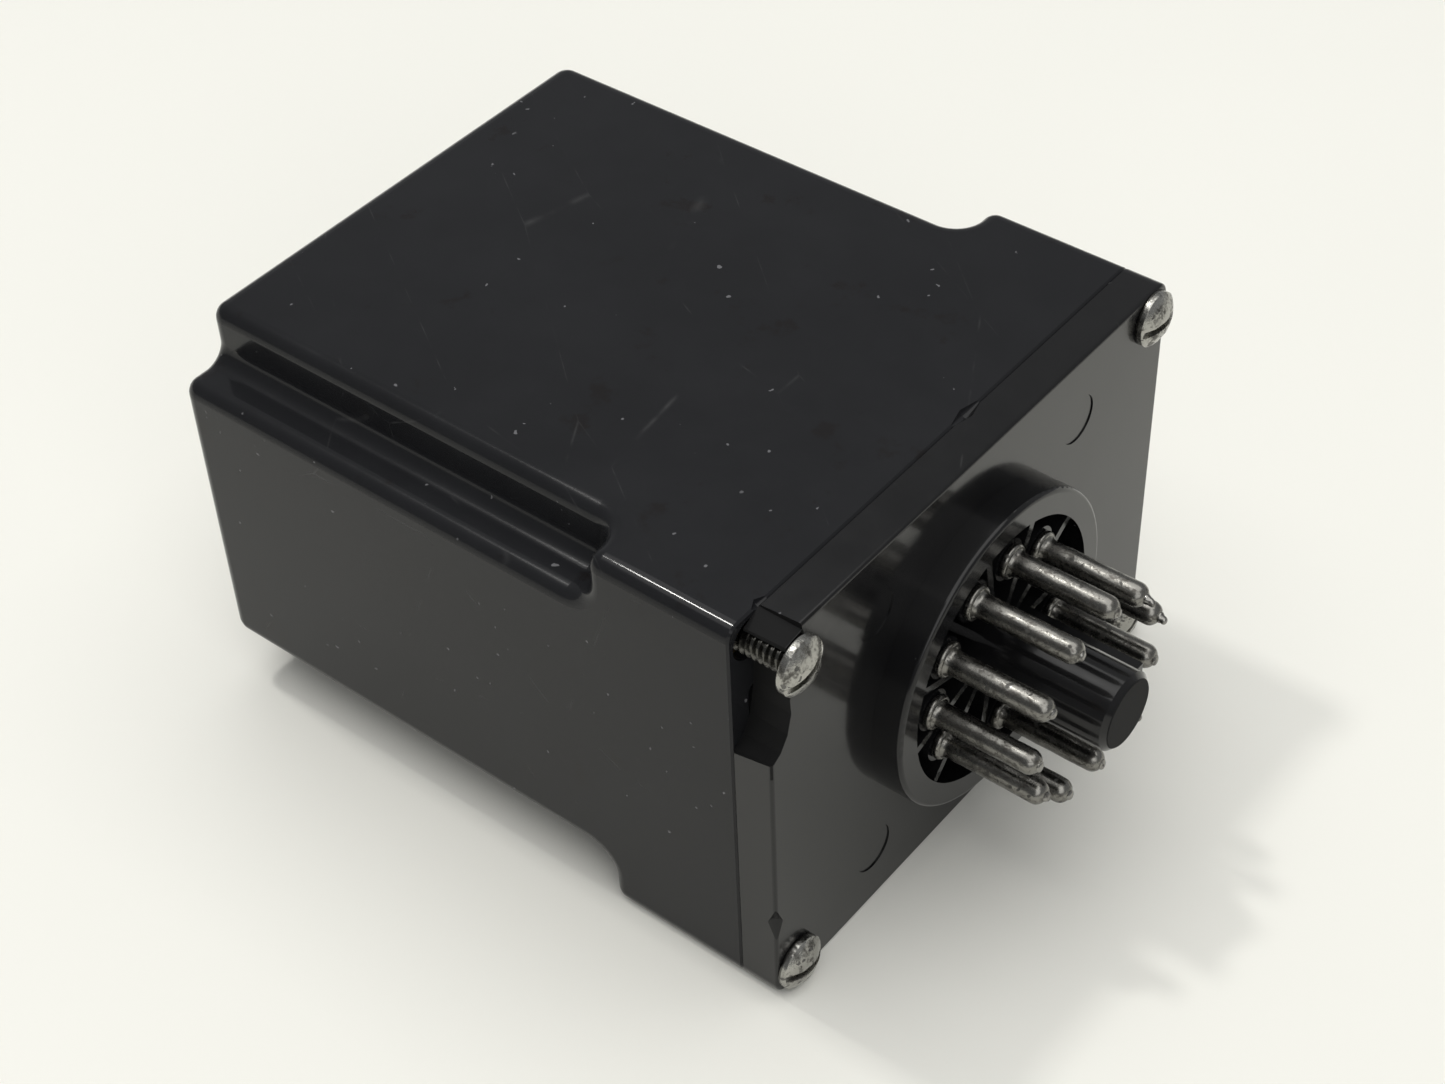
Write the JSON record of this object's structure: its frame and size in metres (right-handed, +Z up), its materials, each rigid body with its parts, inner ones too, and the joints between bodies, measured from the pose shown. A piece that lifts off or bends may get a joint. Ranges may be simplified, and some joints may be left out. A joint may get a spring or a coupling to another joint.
{
  "type": "plug-in relay",
  "caption": "Plug-in relay: black moulded case with stepped long edges, screwed base plate, and a round plug of tubular pins round a keyed post; coil and contacts inside.",
  "frame": {"origin": "on the plug's axis, in the plane of the boss's rim where the relay seats on its socket", "axes": "+X along the plug, out of the pins; +Y across the broad side, towards the key; +Z up with the relay lying on a broad side"},
  "size_m": [0.0863, 0.0604, 0.0444],
  "materials": {
    "housing_plastic": "satin",
    "base_plastic": "glossy",
    "nameplate": "brushed",
    "tinned_pin": "dull tinned",
    "tinned": "tinned",
    "solder": "dull solder",
    "cover_screw": "worn zinc plate",
    "screw_steel": "zinc plate",
    "magnet_steel": "nickel plate",
    "brass": "satin",
    "copper_wire": "enamelled",
    "coil_tape": "varnished cloth",
    "bobbin_plastic": "satin",
    "card_plastic": "satin",
    "spacer_plastic": "satin",
    "blade_bronze": "satin",
    "contact_silver": "bright",
    "lead_red": "satin",
    "lead_yellow": "satin",
    "lead_white": "satin",
    "lead_blue": "satin"
  },
  "bodies": {
    "case": {"base_plate": "base_plastic", "bobbin": "bobbin_plastic", "clamp_plate": "screw_steel", "closed_blade_1": "blade_bronze", "closed_blade_2": "blade_bronze", "closed_blade_3": "blade_bronze", "closed_contacts": "contact_silver", "closed_side_spacer": "spacer_plastic", "coil_leads": "lead_red", "coil_tape": "coil_tape", "coil_terminals": "tinned", "common_blade_1": "blade_bronze", "common_blade_2": "blade_bronze", "common_blade_3": "blade_bronze", "core": "magnet_steel", "corner_inserts": "brass", "cover_screws": "cover_screw", "hinge_pin": "screw_steel", "housing": "housing_plastic", "inner_spacer": "spacer_plastic", "mount_screws": "screw_steel", "nameplate": "nameplate", "open_blade_1": "blade_bronze", "open_blade_2": "blade_bronze", "open_blade_3": "blade_bronze", "open_contacts": "contact_silver", "open_side_spacer": "spacer_plastic", "outer_spacer": "spacer_plastic", "pile_screws": "screw_steel", "pin_1": "tinned_pin", "pin_10": "tinned_pin", "pin_11": "tinned_pin", "pin_2": "tinned_pin", "pin_3": "tinned_pin", "pin_4": "tinned_pin", "pin_5": "tinned_pin", "pin_6": "tinned_pin", "pin_7": "tinned_pin", "pin_8": "tinned_pin", "pin_9": "tinned_pin", "pole_1_leads": "lead_yellow", "pole_2_leads": "lead_white", "pole_3_leads": "lead_blue", "solder_tips": "solder", "winding": "copper_wire", "yoke": "magnet_steel"},
    "armature": {"armature": "magnet_steel", "lifting_card": "card_plastic", "card_rivets": "brass"},
    "blade_1": {"moving_blade_1": "blade_bronze", "moving_contact_1": "contact_silver"},
    "blade_2": {"moving_blade_2": "blade_bronze", "moving_contact_2": "contact_silver"},
    "blade_3": {"moving_blade_3": "blade_bronze", "moving_contact_3": "contact_silver"}
  },
  "joints": [
    {"name": "armature_hinge", "type": "hinge", "parent": "case", "child": "armature", "pos_m": [-0.06135, -0.0038, 0], "axis": [0, 0, 1], "range_deg": [-3.85, 0], "stiffness_Nm_per_rad": 0.02, "springref_deg": 5.73},
    {"name": "blade_1_flex", "type": "hinge", "parent": "case", "child": "blade_1", "pos_m": [-0.0343, -0.0117, -0.009], "axis": [0, 0, 1], "range_deg": [0, 2.72]},
    {"name": "blade_2_flex", "type": "hinge", "parent": "case", "child": "blade_2", "pos_m": [-0.0343, -0.0117, 0], "axis": [0, 0, 1], "range_deg": [0, 2.72]},
    {"name": "blade_3_flex", "type": "hinge", "parent": "case", "child": "blade_3", "pos_m": [-0.0343, -0.0117, 0.009], "axis": [0, 0, 1], "range_deg": [0, 2.72]}
  ],
  "couplings": [
    {"joint": "blade_1_flex", "follows": "armature_hinge", "ratio": -0.70286},
    {"joint": "blade_2_flex", "follows": "armature_hinge", "ratio": -0.70286},
    {"joint": "blade_3_flex", "follows": "armature_hinge", "ratio": -0.70286}
  ]
}
